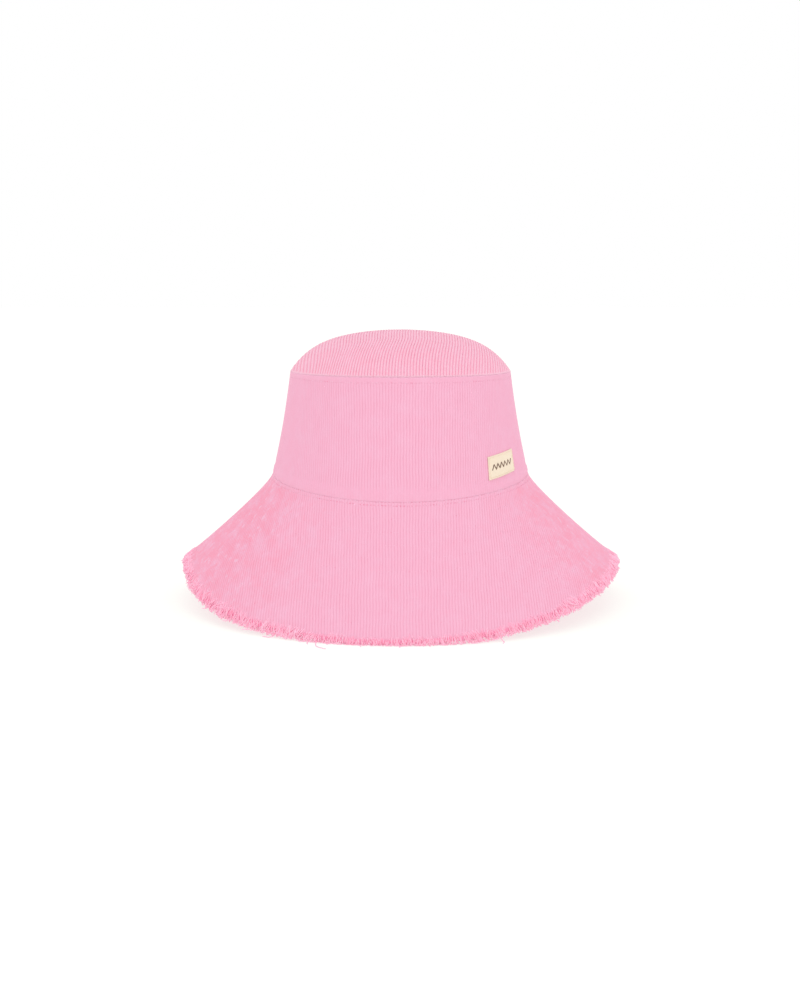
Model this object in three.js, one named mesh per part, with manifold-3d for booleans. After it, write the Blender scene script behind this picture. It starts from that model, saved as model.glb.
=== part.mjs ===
// Bucket hat: corduroy crown with a domed tip, lining and sweatband, and a wide two-ply brim with rows of
// stitching and a frayed raw edge. A small woven label sits on the wearer's left, a care label hangs inside.
// Millimetres, +Z up, the front faces -Y. The origin is on the ground, under the middle of the hat.

import * as THREE from "three";
import Module from "manifold-3d";
import { mergeVertices } from "three/addons/utils/BufferGeometryUtils.js";

const wasm = await Module();
wasm.setup();

// ---------------------------------------------------------------- driving dimensions

// The three rings that the outer surface hangs on: ovals, with their height at the sides and at front and back.
const TIP_RING = { halfWidth: 71.1, halfLength: 80, sideHeight: 150.5, frontHeight: 152 };
const BRIM_RING = { halfWidth: 83.5, halfLength: 96.4, sideHeight: 84, frontHeight: 79.7 };
const EDGE_RING = { halfWidth: 145.5, halfLength: 126.5, sideHeight: 24.5, frontHeight: -1.5 };
const DOME_RISE = 25.7; // apex of the tip above its seam
const DOME_SHOULDER = 6; // power of the steep part of the dome, near its seam
const WAIST = 0.012; // how much the band is pulled in at mid height, as a share of its radius
const BRIM_BOW = 2.1; // how far the brim sags inside the straight line from seam to edge
const BRIM_NECK = 3.2; // how far it first falls in line with the band, at the sides, before it flares
const NECK_REACH = 0.045; // share of the brim in which half of that fall happens

// Cloth, from the outer surface inwards.
const CORDUROY = 1.1;
const LINING = 0.4;
const INTERLINING = 0.4;
const SWEATBAND = 0.8;
const LAYER_GAP = 0.35;
const SEAM_GAP = 0.4;

const SWEATBAND_HEIGHT = 28;
const BRIM_ROWS = 10;
const FRINGE_WIDTH = 6.5; // the frayed strip outside the last row of stitching
const THREAD = 0.5; // diameter
const THREAD_LIFT = 0.35; // a row of stitching lies this far off the cloth
const TIP_MARGIN = 3.2; // from the tip seam down to its topstitching
const BRIM_MARGIN = 2; // from the brim seam down to its topstitching
const TAPE_MARGIN = 3.2; // from the sweatband's lower edge up to its stitching

const SIDE_LABEL = { width: 29.5, height: 13.3, thickness: 0.5, angle: 50, above: 10 };
const CARE_LABEL = { width: 22, height: 30, thickness: 0.4, offWall: 1.6 };

const AROUND = 40; // facets round the hat

// ---------------------------------------------------------------- the outer surface

// The surface is read by v and angle: v runs 0 at the apex, 1 at the tip seam, 2 at the brim seam, 3 at the edge,
// and the angle is 0 at the front, growing towards the wearer's left (+X).
const APEX_V = 0;
const TIP_V = 1;
const BRIM_V = 2;
const EDGE_V = 3;

function ringPoint(ring, angle) {
  const frontness = Math.cos(angle) ** 2;
  return new THREE.Vector3(
    ring.halfWidth * Math.sin(angle),
    -ring.halfLength * Math.cos(angle),
    ring.sideHeight + (ring.frontHeight - ring.sideHeight) * frontness,
  );
}

function domePoint(r, angle) {
  const rim = ringPoint(TIP_RING, angle);
  const drop = 0.5 * r ** 2 + 0.5 * r ** DOME_SHOULDER;
  const saddle = (rim.z - TIP_RING.sideHeight) * r ** 2;
  return new THREE.Vector3(rim.x * r, rim.y * r, TIP_RING.sideHeight + saddle + DOME_RISE * (1 - drop));
}

function bandPoint(w, angle) {
  const p = ringPoint(TIP_RING, angle).lerp(ringPoint(BRIM_RING, angle), w);
  const pull = 1 - WAIST * Math.sin(Math.PI * w);
  return new THREE.Vector3(p.x * pull, p.y * pull, p.z);
}

// How far the brim lies inside the chord from its seam to its edge.
function brimSag(w, angle) {
  const bow = BRIM_BOW * Math.sin(Math.PI * w) * (1.27 - 0.56 * w);
  const neck = BRIM_NECK * Math.sin(angle) ** 2 * (w / (w + NECK_REACH)) * (1 - w) ** 3;
  return bow + neck;
}

function brimPoint(w, angle) {
  const seam = ringPoint(BRIM_RING, angle);
  const chord = ringPoint(EDGE_RING, angle).sub(seam);
  const out = Math.hypot(chord.x, chord.y);
  const sag = brimSag(w, angle) / chord.length();
  const inwards = (sag * chord.z) / out;
  return seam.addScaledVector(chord, w).add(new THREE.Vector3(chord.x * inwards, chord.y * inwards, -sag * out));
}

function surfacePoint(v, angle) {
  if (v <= TIP_V) return domePoint(v, angle);
  if (v <= BRIM_V) return bandPoint(v - TIP_V, angle);
  return brimPoint(v - BRIM_V, angle);
}

// The outward normal, taken on the same side of a seam as the piece that asks for it.
function surfaceNormal(v, angle, region) {
  if (v < 1e-6) return new THREE.Vector3(0, 0, 1);
  const step = 1e-3;
  const from = Math.max(v - step, region.low + 1e-4);
  const to = Math.min(v + step, region.high - 1e-4);
  const down = surfacePoint(to, angle).sub(surfacePoint(from, angle));
  const around = surfacePoint(v, angle + step).sub(surfacePoint(v, angle - step));
  return around.cross(down).normalize().negate();
}

// A point of the hat: depth is how far it lies inside the outer surface.
function hatPoint(v, angle, depth, region) {
  const inside = THREE.MathUtils.clamp(v, region.low + 1e-4, region.high - 1e-4);
  return surfacePoint(v, angle).addScaledVector(surfaceNormal(inside, angle, region), -depth);
}

// Slant lengths down the side turn a distance along the cloth into a step of v.
const slant = (a, b) => ringPoint(a, Math.PI / 2).distanceTo(ringPoint(b, Math.PI / 2));
const evenly = (from, count) => [...Array(count).keys()].map((i) => from + i / count);
const quarterTurn = (count) => evenly(0, count).map((share) => Math.sin((share * Math.PI) / 2));
const closerAbove = (from, count) => evenly(0, count).map((share) => from + share ** 1.5);

const TIP = { low: APEX_V, high: TIP_V, length: TIP_RING.halfWidth, stations: quarterTurn(8) };
const BAND = { low: TIP_V, high: BRIM_V, length: slant(TIP_RING, BRIM_RING), stations: evenly(TIP_V, 4) };
const BRIM = { low: BRIM_V, high: EDGE_V, length: slant(BRIM_RING, EDGE_RING), stations: closerAbove(BRIM_V, 8) };
const FRINGE_V = EDGE_V - FRINGE_WIDTH / BRIM.length;
BRIM.stations.push(FRINGE_V);

// ---------------------------------------------------------------- solids

const solidOf = (geometry) => {
  const bare = geometry.clone().deleteAttribute("normal").deleteAttribute("uv");
  const merged = mergeVertices(bare, 1e-4);
  return new wasm.Manifold(
    new wasm.Mesh({
      numProp: 3,
      vertProperties: new Float32Array(merged.attributes.position.array),
      triVerts: new Uint32Array(merged.index.array),
    }),
  );
};

const geometryOf = (solid) => {
  const { vertProperties, triVerts } = solid.getMesh();
  const geometry = new THREE.BufferGeometry();
  geometry.setAttribute("position", new THREE.BufferAttribute(vertProperties, 3));
  geometry.setIndex(new THREE.BufferAttribute(triVerts, 1));
  return geometry;
};

// Turns a closed outline, given as [v, depth] corners, right round the hat. It is lathed round the axis
// with v as its radius, and each corner is then carried onto the hat's surface.
function turned(outline, region) {
  const lathe = new THREE.LatheGeometry(outline.map(([v, depth]) => new THREE.Vector2(v, -depth)), AROUND);
  const p = lathe.attributes.position;
  for (let i = 0; i < p.count; i++) {
    const [x, y, z] = [p.getX(i), p.getY(i), p.getZ(i)];
    const on = hatPoint(Math.hypot(x, z), Math.atan2(x, z), -y, region);
    p.setXYZ(i, on.x, on.y, on.z);
  }
  return lathe;
}

// The outline of a sheet of cloth from v0 to v1, lying between two depths. Every layer of a region bends at
// the same stations, so that neighbouring layers stay parallel.
function sheetOutline(region, v0, v1, outer, inner) {
  const between = region.stations.filter((v) => v > v0 + 0.01 && v < v1 - 0.01);
  const along = [v0, ...between, v1];
  const outside = along.map((v) => [v, outer]);
  const inside = along.map((v) => [v, inner]).reverse();
  const closing = v0 === APEX_V ? [] : [[v0, outer]];
  return [...outside, ...inside, ...closing].reverse();
}

const sheet = (region, v0, v1, outer, thickness) =>
  turned(sheetOutline(region, v0, v1, outer, outer + thickness), region);

// A row of thread at v, of square section, turned round the hat with its middle at a depth.
function threadRow(region, v, depth) {
  const half = THREAD / 2;
  const step = half / region.length;
  return turned([[v - step, depth + half], [v + step, depth + half], [v + step, depth - half],
    [v - step, depth - half], [v - step, depth + half]], region);
}
const onCloth = -(THREAD_LIFT + THREAD / 2);

const FAR = 400;

// A box that keeps what is on one side of the side seams and above the ground.
function halfSpace(sign) {
  const box = new THREE.BoxGeometry(FAR, FAR, FAR);
  return solidOf(box.translate(0, sign * (FAR / 2 + SEAM_GAP / 2), FAR / 2));
}
const halves = { front: halfSpace(-1), back: halfSpace(1) };

// A flat patch bent onto the outer surface: x goes round the hat, y up it and z outwards.
function patch(geometry, angle, v, region) {
  const p = geometry.attributes.position;
  const here = surfacePoint(v, angle);
  const perRadian = surfacePoint(v, angle + 0.01).distanceTo(here) / 0.01;
  for (let i = 0; i < p.count; i++) {
    const on = hatPoint(v - p.getY(i) / region.length, angle + p.getX(i) / perRadian, -p.getZ(i), region);
    p.setXYZ(i, on.x, on.y, on.z);
  }
  return geometry;
}

// ---------------------------------------------------------------- materials

const cloth = (color, roughness) => new THREE.MeshStandardMaterial({ color, roughness, metalness: 0 });
const pinkCorduroy = cloth(0xf9b6cf, 0.95);
const pinkCotton = cloth(0xfbd3de, 0.9);
const whiteInterlining = cloth(0xf4f1ec, 0.9);
const pinkTwill = cloth(0xf7c3d4, 0.85);
const pinkThread = cloth(0xf48fb4, 0.6);
const creamLabel = cloth(0xf7ead3, 0.85);
const whiteSatin = cloth(0xf8f7f4, 0.5);

// ---------------------------------------------------------------- assembly

const hat = new THREE.Group();
hat.name = "bucket_hat";

function add(name, geometry, material) {
  const mesh = new THREE.Mesh(geometry, material);
  mesh.name = name;
  hat.add(mesh);
  return mesh;
}

// Front and back panels of one sheet, parted at the side seams and trimmed flat where they touch the ground.
function addPanels(name, geometry, material) {
  const whole = solidOf(geometry);
  for (const [side, half] of Object.entries(halves)) {
    add(`${name}_${side}`, geometryOf(whole.intersect(half)), material);
  }
}

const liningDepth = CORDUROY + LAYER_GAP;
const sweatbandDepth = liningDepth + LINING + LAYER_GAP;
const interliningDepth = CORDUROY + LAYER_GAP;
const underDepth = interliningDepth + INTERLINING + LAYER_GAP;

// A seam stops each layer short of the next panel. The tip seam is a corner, so deeper layers stop sooner there.
const cornerStop = (depth) => SEAM_GAP / 2 + 0.45 * depth;

function addCrown() {
  const tipEnd = (depth) => TIP_V - cornerStop(depth) / TIP.length;
  const bandTop = (depth) => TIP_V + cornerStop(depth) / BAND.length;
  const bandEnd = BRIM_V - SEAM_GAP / 2 / BAND.length;
  const liningBack = liningDepth + LINING;
  add("tip_panel", sheet(TIP, APEX_V, tipEnd(CORDUROY), 0, CORDUROY), pinkCorduroy);
  add("tip_lining", sheet(TIP, APEX_V, tipEnd(liningBack), liningDepth, LINING), pinkCotton);
  addPanels("band", sheet(BAND, bandTop(CORDUROY), bandEnd, 0, CORDUROY), pinkCorduroy);
  addPanels("side_lining", sheet(BAND, bandTop(liningBack), bandEnd, liningDepth, LINING), pinkCotton);
  const sweatbandTop = BRIM_V - SWEATBAND_HEIGHT / BAND.length;
  add("sweatband", sheet(BAND, sweatbandTop, bandEnd, sweatbandDepth, SWEATBAND), pinkTwill);
}

function addBrim() {
  const start = BRIM_V + SEAM_GAP / 2 / BRIM.length;
  addPanels("brim_top", sheet(BRIM, start, EDGE_V, 0, CORDUROY), pinkCorduroy);
  addPanels("brim_under", sheet(BRIM, start, EDGE_V, underDepth, CORDUROY), pinkCorduroy);
  addPanels("brim_interlining", sheet(BRIM, start, FRINGE_V, interliningDepth, INTERLINING),
    whiteInterlining);
}

function addStitching() {
  const tipRow = TIP_V + TIP_MARGIN / BAND.length;
  add("tip_topstitching", threadRow(BAND, tipRow, onCloth), pinkThread);
  const seamRow = BRIM_V + BRIM_MARGIN / BRIM.length;
  for (let row = 0; row <= BRIM_ROWS; row++) {
    const v = seamRow + ((FRINGE_V - seamRow) * row) / BRIM_ROWS;
    const name = row === 0 ? "brim_seam_topstitching" : `brim_stitch_row_${String(row).padStart(2, "0")}`;
    add(name, threadRow(BRIM, v, onCloth), pinkThread);
  }
  // The sweatband is sewn down along its lower edge, on the inside.
  const sewn = BRIM_V - TAPE_MARGIN / BAND.length;
  add("sweatband_stitching", threadRow(BAND, sewn, sweatbandDepth + SWEATBAND - onCloth), pinkThread);
}

function addLabels() {
  const { width, height, thickness, angle, above } = SIDE_LABEL;
  const labelAngle = THREE.MathUtils.degToRad(angle);
  const labelV = BRIM_V - (above + height / 2) / BAND.length;
  // A slab of the label's outline, drawn in by an inset, with its middle lifted off the cloth.
  const slab = (inset, lift, deep) => {
    const box = new THREE.BoxGeometry(width - 2 * inset, height - 2 * inset, deep, 6, 3, 1);
    return patch(box.translate(0, 0, lift), labelAngle, labelV, BAND);
  };
  add("side_label", slab(0, LAYER_GAP + thickness / 2, thickness), creamLabel);

  // Its stitching is a narrow frame of thread, just inside the label's edge.
  const inset = 1;
  const threadLift = 2 * LAYER_GAP + thickness + THREAD / 2;
  const outside = solidOf(slab(inset, threadLift, THREAD));
  const inside = solidOf(slab(inset + THREAD, threadLift, 4 * THREAD));
  add("side_label_stitching", geometryOf(outside.subtract(inside)), pinkThread);

  // The care label is caught along its upper edge behind the sweatband's top, at the back, and hangs plumb.
  const top = BRIM_V - SWEATBAND_HEIGHT / BAND.length;
  const wall = hatPoint(top, Math.PI, sweatbandDepth + SWEATBAND, BAND);
  const care = new THREE.BoxGeometry(CARE_LABEL.width, CARE_LABEL.thickness, CARE_LABEL.height);
  const hanging = add("care_label", care, whiteSatin);
  hanging.position.set(0, wall.y - CARE_LABEL.offWall, wall.z - CARE_LABEL.height / 2);
}

addCrown();
addBrim();
addStitching();
addLabels();

export default hat;
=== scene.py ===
"""Looks for the bucket hat: pink corduroy with real wales, stitching, a frayed brim and a plain label.

Every piece of cloth is laid out on its flat pattern, so its wales run along the grain, and is then carried
onto the hat's surface. The surface is read by v and t: v runs 0 at the apex, 1 at the tip seam, 2 at the
brim seam and 3 at the brim's edge, and t is the angle from the front towards +X.
"""

import math
from collections import namedtuple

import bpy
import numpy as np
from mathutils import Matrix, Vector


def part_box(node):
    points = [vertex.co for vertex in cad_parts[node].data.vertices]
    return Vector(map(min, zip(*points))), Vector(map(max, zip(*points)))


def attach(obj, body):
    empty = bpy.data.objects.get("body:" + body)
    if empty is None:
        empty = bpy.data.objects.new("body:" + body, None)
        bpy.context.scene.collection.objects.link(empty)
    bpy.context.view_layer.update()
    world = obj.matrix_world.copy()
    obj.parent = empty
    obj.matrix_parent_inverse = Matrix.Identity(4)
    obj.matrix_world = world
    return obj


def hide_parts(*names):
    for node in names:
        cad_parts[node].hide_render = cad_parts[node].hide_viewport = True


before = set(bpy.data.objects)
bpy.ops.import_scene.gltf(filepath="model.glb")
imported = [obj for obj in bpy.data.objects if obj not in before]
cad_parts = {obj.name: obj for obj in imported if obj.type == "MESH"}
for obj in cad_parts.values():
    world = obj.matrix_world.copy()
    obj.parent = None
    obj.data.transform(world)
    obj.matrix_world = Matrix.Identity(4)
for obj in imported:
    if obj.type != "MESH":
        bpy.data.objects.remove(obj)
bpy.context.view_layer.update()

MM = 0.001

# ---- sizes from the frame ----


def joined_box(*nodes):
    """The lowest and highest corner of several CAD nodes together."""
    lows, highs = zip(*(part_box(node) for node in nodes))
    return np.min(lows, axis=0), np.max(highs, axis=0)


tip_high = joined_box("tip_panel")[1]
band_low, band_high = joined_box("band_front", "band_back")
brim_high = joined_box("brim_top_front", "brim_top_back")[1]
sweatband_low, sweatband_high = joined_box("sweatband")
HEIGHT = tip_high[2]

SEAM_STEP = 0.7 * MM  # how far the CAD tip and band stop short of the tip seam
TIP_SADDLE = 1.5 * MM  # the tip seam is this much higher at the front than at the sides
HALF_SEAM_GAP = 0.2 * MM  # how far the CAD band stops short of the brim seam
EDGE_DIP = 1.5 * MM  # the edge would pass this far below the ground at the front
EDGE_SPREAD = 0.4  # how far the edge moves out at the front for each step that it goes down
EDGE_SIDE_HEIGHT = 0.14  # height of the edge at the sides, as a share of the hat's

Ring = namedtuple("Ring", "half_width half_length side_height front_height")
TIP_RING = Ring(
    tip_high[0] + SEAM_STEP,
    tip_high[1] + SEAM_STEP,
    band_high[2] + SEAM_STEP - TIP_SADDLE,
    band_high[2] + SEAM_STEP,
)
BRIM_RING = Ring(band_high[0], band_high[1], brim_high[2], band_low[2] - HALF_SEAM_GAP)
EDGE_RING = Ring(
    brim_high[0],
    brim_high[1] + EDGE_SPREAD * EDGE_DIP,
    EDGE_SIDE_HEIGHT * HEIGHT,
    -EDGE_DIP,
)
DOME_RISE = HEIGHT - TIP_RING.side_height
DOME_SHOULDER = 6  # the higher, the flatter the dome and the tighter its shoulder
WAIST = 0.012  # how much the band pulls in halfway down, as a share of its radius
BRIM_BOW = 2.1 * MM  # how far the brim sags inside the chord from its seam to its edge
BRIM_NECK = 3.2 * MM  # how far it first falls in line with the band, at the sides, before it flares
NECK_REACH = 0.08  # the share of the brim over which it does so

WALE = 1.81 * MM  # distance from one wale to the next
WALE_HEIGHT = 0.28 * MM
PLY = 1.1 * MM  # corduroy with its pile
UNDER_FACE = 3.3 * MM  # depth of the lower ply's visible face
FRINGE = 6.2 * MM  # how far up from the edge the cloth is frayed
BRIM_LENGTH = math.dist((BRIM_RING[0], BRIM_RING[2]), (EDGE_RING[0], EDGE_RING[2]))
BAND_LENGTH = math.dist((TIP_RING[0], TIP_RING[2]), (BRIM_RING[0], BRIM_RING[2]))
FRINGE_V = 3 - FRINGE / BRIM_LENGTH
FIRST_ROW_V = 2 + 2.0 * MM / BRIM_LENGTH
SEAM_ROW_V = 2 + 0.07 * MM / BRIM_LENGTH
BRIM_ROWS = sorted(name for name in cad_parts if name.startswith("brim_stitch_row_"))
ROW_V = np.linspace(FIRST_ROW_V, FRINGE_V, len(BRIM_ROWS) + 1)
TIP_ROW_V = 1 + 3.2 * MM / BAND_LENGTH

# ---- the hat's surface ----

TIP, BAND, BRIM = (0, 1), (1, 2), (2, 3.1)  # the stretch of v of each region
SEAM_EASE = 0.03  # reach, in v, of the turn to a seam's shared normals


def blend(low, high, x):
    """0 below low, 1 above high, smooth between."""
    s = np.clip((x - low) / (high - low), 0, 1)
    return s * s * (3 - 2 * s)


def bump(x, centre, width):
    """A smooth hump of height 1."""
    return np.exp(-(((x - centre) / width) ** 2))


def unit(vectors):
    return vectors / np.maximum(np.linalg.norm(vectors, axis=-1, keepdims=True), 1e-9)


def ring_point(ring, t):
    frontness = np.cos(t) ** 2
    height = ring.side_height + (ring.front_height - ring.side_height) * frontness
    return np.stack([ring.half_width * np.sin(t), -ring.half_length * np.cos(t), height], axis=-1)


def dome_point(r, t):
    rim = ring_point(TIP_RING, t)
    drop = 0.5 * r**2 + 0.5 * r**DOME_SHOULDER
    saddle = (rim[..., 2] - TIP_RING.side_height) * r**2
    height = TIP_RING.side_height + saddle + DOME_RISE * (1 - drop)
    return np.stack([rim[..., 0] * r, rim[..., 1] * r, height], axis=-1)


def band_point(w, t):
    w = w[..., None]
    point = ring_point(TIP_RING, t) * (1 - w) + ring_point(BRIM_RING, t) * w
    pull = 1 - WAIST * np.sin(np.pi * w)
    return point * np.concatenate([pull, pull, np.ones_like(pull)], axis=-1)


def brim_sag(w, t):
    """How far the brim lies inside the chord from its seam to its edge."""
    w = np.clip(w, 0, 1)
    bow = BRIM_BOW * np.sin(np.pi * w) * (1.27 - 0.56 * w)
    neck = BRIM_NECK * np.sin(t) ** 2 * (w / (w + NECK_REACH)) * (1 - w) ** 3
    return bow + neck


def brim_point(w, t):
    seam = ring_point(BRIM_RING, t)
    chord = ring_point(EDGE_RING, t) - seam
    out = np.hypot(chord[..., 0], chord[..., 1])
    sag = brim_sag(w, t) / np.linalg.norm(chord, axis=-1)
    inwards = sag * chord[..., 2] / out
    inside = np.stack([chord[..., 0] * inwards, chord[..., 1] * inwards, -sag * out], axis=-1)
    rise, tuck = drape(w, t)
    direction = np.stack([chord[..., 0] / out, chord[..., 1] / out, 0 * out], axis=-1)
    lifted = rise[..., None] * np.array([0, 0, 1])
    return seam + chord * w[..., None] + inside + lifted - direction * tuck[..., None]


def turn_in_degrees(t):
    """The angle from the front, -180 to 180, negative on the wearer's right."""
    return np.degrees(np.arctan2(np.sin(t), np.cos(t)))


def degrees_off_front(t):
    return np.abs(turn_in_degrees(t))


def drape(w, t):
    """How the soft brim hangs away from its even shape: the rise of each point, and its move inwards."""
    degrees = turn_in_degrees(t)
    hanging = np.clip(w, 0, 1.1) ** 2
    curled = np.clip(w, 0, 1) ** 10
    waves = 0.5 * np.sin(3 * t + 0.6) + 0.45 * np.sin(5 * t + 2.0) + 0.3 * np.sin(8 * t + 1.0)
    droops = -7.1 * bump(degrees, -60, 29) - 1.2 * bump(degrees, 77, 29)
    lifted_tips = 4.1 * bump(degrees_off_front(t), 90, 14)
    tucked_tips = 2.5 * bump(degrees, -86, 26) + 1.7 * bump(degrees, 86, 26)
    return ((waves + droops) * hanging + lifted_tips * curled) * MM, tucked_tips * curled * MM


# Each fold of the brim: its height, its angle in degrees at the seam and how that turns with w, its width,
# and the middle and reach of its stretch of w.
FOLDS = (
    (1.3, -43, -10, 6, 0.42, 0.3),
    (-0.9, -34, -10, 5, 0.4, 0.28),
    (0.6, 58, 14, 7, 0.5, 0.3),
    (0.9, 150, -12, 7, 0.5, 0.35),
)


def creases(v, t):
    """Soft folds of the cloth, as an offset outwards along its normal."""
    degrees = turn_in_degrees(t)
    w = v - 2
    folds = 0.35 * np.sin(degrees / 4.3) * bump(w, 0.06, 0.08) * bump(degrees, -48, 16)
    for height, angle, turn, width, middle, reach in FOLDS:
        folds = folds + height * bump(degrees, angle + turn * w, width) * bump(w, middle, reach)
    on_brim = blend(2.02, 2.12, v) * folds
    dent = -0.5 * bump(degrees, -28, 20) * bump(v, 1.55, 0.3)
    swell = 0.35 * bump(degrees, 20, 25) * bump(v, 1.45, 0.3)
    near_seams = bump(v, 1.06, 0.05) + bump(v, 1.94, 0.04) + bump(v, 2.05, 0.05)
    puckers = 0.10 * np.sin(degrees * 1.3 + 4 * np.sin(degrees / 17)) * near_seams
    return (on_brim + dent + swell + puckers) * MM


def smooth_surface(v, t):
    """Points of the hat's outer surface, without its creases."""
    v, t = np.broadcast_arrays(v, t)
    tip = dome_point(np.clip(v, 0, 1), t)
    band = band_point(np.clip(v - 1, 0, 1), t)
    brim = brim_point(np.clip(v - 2, 0, 1.2), t)
    return np.where((v <= 1)[..., None], tip, np.where((v <= 2)[..., None], band, brim))


def one_sided_normals(v, t, region):
    """Outward normals, measured without stepping over the region's seams."""
    step = 2e-3
    low, high = region
    inside = np.clip(v, low + step, high - step)
    down = smooth_surface(inside + 0.9 * step, t) - smooth_surface(inside - 0.9 * step, t)
    inside = np.maximum(inside, 0.02)
    around = smooth_surface(inside, t + step) - smooth_surface(inside, t - step)
    return unit(np.cross(down, around))


def normals(v, t, region):
    """Outward normals of a panel. At a seam they turn to the mean of both panels', so that layers meet."""
    own = one_sided_normals(v, t, region)
    for seam, above, below in ((1, TIP, BAND), (2, BAND, BRIM)):
        if seam not in region:
            continue
        at_seam = np.full_like(v, seam)
        shared = unit(one_sided_normals(at_seam, t, above) + one_sided_normals(at_seam, t, below))
        near = (1 - blend(0, SEAM_EASE, np.abs(v - seam)))[..., None]
        own = own * (1 - near) + shared * near
    return unit(own)


def hat_point(v, t, depth, region):
    """A point that lies a depth inside the hat's outer surface, creases included."""
    v, t = np.broadcast_arrays(v, t)
    offset = creases(v, t) - depth
    return smooth_surface(v, t) + normals(v, t, region) * offset[..., None]


# ---- meshes ----


def add_object(name, data):
    thing = bpy.data.objects.new(name, data)
    bpy.context.scene.collection.objects.link(thing)
    return thing


def mesh_object(name, points, faces, smooth=True, attributes=None):
    """A mesh object. smooth is one value or one for each face, attributes are floats for each point."""
    mesh = bpy.data.meshes.new(name)
    mesh.from_pydata(points.tolist(), [], faces)
    mesh.validate()
    mesh.polygons.foreach_set("use_smooth", np.broadcast_to(smooth, len(mesh.polygons)))
    for key, values in (attributes or {}).items():
        layer = mesh.attributes.new(key, "FLOAT", "POINT")
        layer.data.foreach_set("value", np.asarray(values, np.float32))
    return add_object(name, mesh)


def tube_faces(rings, sides, joined=False):
    """Faces of a tube whose points are [rings, sides]. Its ends are joined to each other, or closed."""
    index = np.arange(rings * sides).reshape(rings, sides)
    along = np.append(index, index[:1], axis=0) if joined else index
    ahead = np.roll(along, -1, axis=1)
    walls = np.stack([along[:-1], ahead[:-1], ahead[1:], along[1:]], axis=-1).reshape(-1, 4).tolist()
    return walls if joined else walls + [index[0, ::-1].tolist(), index[-1].tolist()]


def copied_faces(faces, size, count):
    """The faces of many copies of a mesh of size points."""
    return [[corner + start for corner in face] for start in range(0, size * count, size) for face in faces]


def round_angles(count):
    return np.linspace(0, 2 * math.pi, count, endpoint=False)


def finish_piece(piece, material, slot, *nodes, body="hat"):
    """Gives a piece its material and the body it rides, and hides the CAD nodes it stands for. slot is not
    used.
    """
    piece.data.materials.append(material)
    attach(piece, body)
    if nodes:
        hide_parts(*nodes)


def cloth_shell(name, face, back, shades, flip=False, coarse=(10, 4)):
    """A closed sheet from two grids of points: a fine face and a back that only needs a coarse grid.

    The grids are [columns, rows, 3]. Where the back meets the rim, its faces take in every rim point.
    shades are the face's attributes by name; the back carries their mean.
    """
    columns, rows = face.shape[:2]
    index = np.arange(columns * rows).reshape(columns, rows)
    a, b, c, d = index[:-1, :-1], index[1:, :-1], index[1:, 1:], index[:-1, 1:]
    face_quads = np.stack([a, b, c, d], axis=-1).reshape(-1, 4).tolist()

    rim = np.concatenate([index[:, 0], index[-1, 1:], index[-2::-1, -1], index[0, -2:0:-1]])
    back_index = -np.ones((columns, rows), int)
    kept_columns = [*range(0, columns - 1, coarse[0]), columns - 1]
    kept_rows = [*range(0, rows - 1, coarse[1]), rows - 1]
    wanted = np.zeros((columns, rows), bool)
    wanted[np.ix_(kept_columns, kept_rows)] = True
    wanted[[0, -1], :] = True
    wanted[:, [0, -1]] = True
    back_index[wanted] = columns * rows + np.arange(wanted.sum())

    flat_back = back_index.ravel()
    following = np.roll(rim, -1)
    walls = np.stack([following, rim, flat_back[rim], flat_back[following]], axis=-1).tolist()

    backs = []
    for c0, c1 in zip(kept_columns, kept_columns[1:]):
        for r0, r1 in zip(kept_rows, kept_rows[1:]):
            loop = [(c0, r) for r in range(r0, r1)] + [(c, r1) for c in range(c0, c1)]
            loop += [(c1, r) for r in range(r1, r0, -1)] + [(c, r0) for c in range(c1, c0, -1)]
            backs.append([int(back_index[place]) for place in loop if back_index[place] >= 0])

    faces = face_quads + walls + backs
    smooth = np.repeat([True, False, True], [len(face_quads), len(walls), len(backs)])
    if flip:
        faces = [face_corners[::-1] for face_corners in faces]
    points = np.concatenate([face.reshape(-1, 3), back[wanted]])
    attributes = {
        key: np.append(values.ravel(), [values.mean()] * wanted.sum()) for key, values in shades.items()
    }
    return mesh_object(name, points, faces, smooth, attributes)


MEAN_PILE = 0.65  # height of the pile when its wales are brushed flat, 1 is a wale's crest
WALE_STEPS = np.array([0.0, 0.13, 0.36, 0.64, 0.87])  # columns across one wale, from its valley
WALE_SHAPE = np.array([0.0, 0.62, 1.0, 1.0, 0.62])  # how high the pile stands at each


def wale_columns(half_width):
    """Column positions across a panel, and the pile's height at each."""
    count = int(half_width / WALE) + 1
    start = np.arange(-count, count)[:, None]
    across = ((start + WALE_STEPS) * WALE).ravel()
    heights = np.tile(WALE_SHAPE, 2 * count)
    inside = np.abs(across) < half_width
    across, heights = across[inside], heights[inside]
    across = np.concatenate([[-half_width], across, [half_width]])
    return across, np.concatenate([[0.5], heights, [0.5]])


def eased_rows(count, crowding=0.48):
    """Shares of a column, closer together near both of its ends."""
    s = np.linspace(0, 1, count)
    return s - crowding * np.sin(2 * np.pi * s) / (2 * np.pi)


def turned_in(distance, radius):
    """How deep the cloth has rolled under at a distance from its seam: a quarter circle."""
    reach = np.clip(distance, 0, radius)
    return radius - np.sqrt(radius**2 - (radius - reach) ** 2)


def pressed_rows(v, rows, region_length, reach=0.9 * MM):
    """How far rows of stitching press the pile down: rows are (v, strength), 1 is a tight row."""
    pressed = np.zeros_like(v)
    for row, strength in rows:
        pressed = np.maximum(pressed, strength * bump((v - row) * region_length, 0, reach))
    return pressed


def pile_noise(across, along, seed):
    """Slow uneven brushing of the pile across and along the wales, about -1 to 1."""
    draw = np.random.default_rng(seed)
    total = 0 * across
    for _ in range(9):
        down_rate, side_rate, phase = draw.uniform(60, 700), draw.uniform(100, 1500), draw.uniform(0, 6.3)
        total = total + np.sin(down_rate * along + side_rate * across + phase)
    return total / 4


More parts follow.
